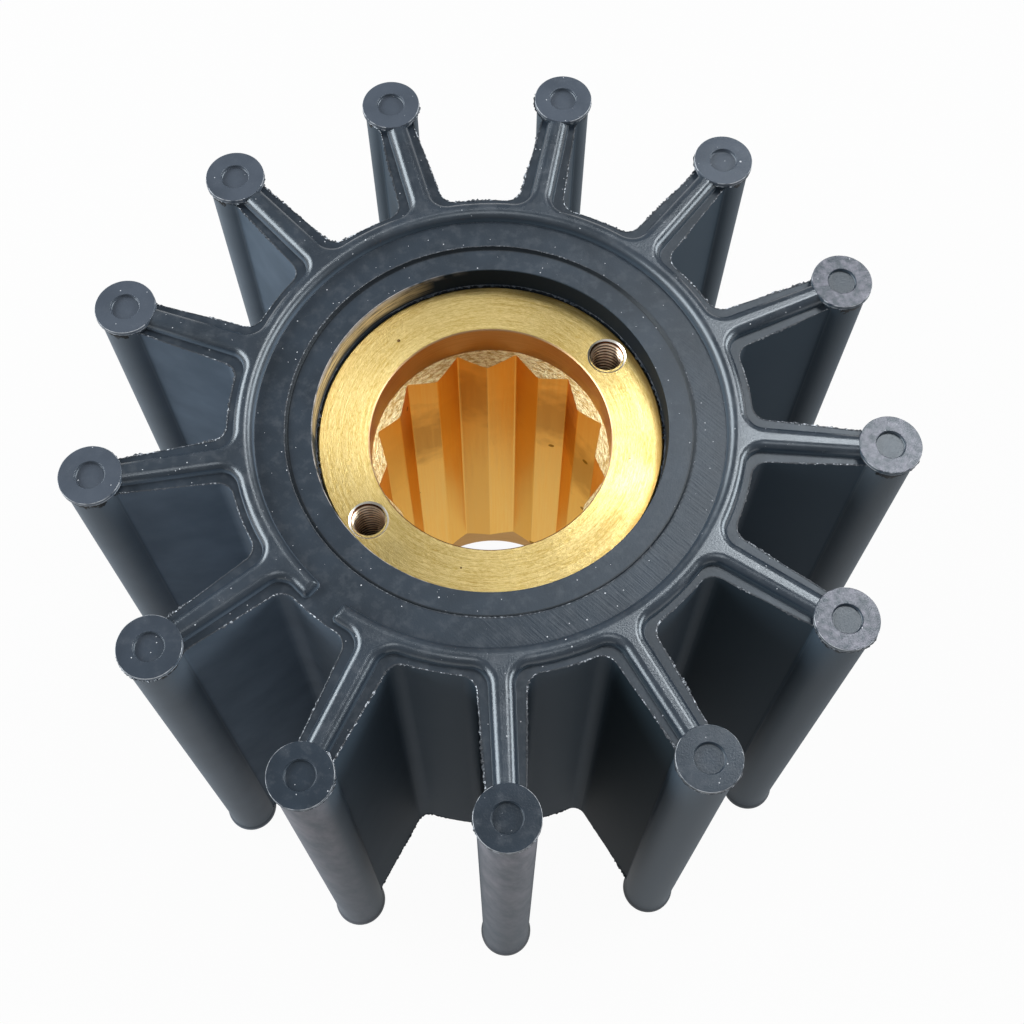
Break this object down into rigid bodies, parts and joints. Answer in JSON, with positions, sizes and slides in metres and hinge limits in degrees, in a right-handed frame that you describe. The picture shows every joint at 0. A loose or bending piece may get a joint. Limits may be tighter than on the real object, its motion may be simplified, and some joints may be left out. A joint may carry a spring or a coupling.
{
  "type": "flexible pump impeller",
  "caption": "Flexible rubber pump impeller with straight bulb-tipped vanes, a raised bead on both end faces, and a bonded brass bush with a double-hexagon drive bore.",
  "frame": {"origin": "on the drive bore's axis, in the plane of the lower tip-disc faces that the impeller stands on", "axes": "+Z along the bore axis, up to the end with the jacking holes; -Y along one vane; +X completes the right-handed frame"},
  "size_m": [0.134, 0.1331, 0.1075],
  "materials": {
    "rubber": "satin moulded black rubber, slightly blue-grey, with fine mould flash",
    "brass": "turned bare brass with fine tool marks"
  },
  "bodies": {
    "root": {"rubber_impeller_body": "rubber", "brass_hub_insert": "brass"}
  },
  "joints": []
}
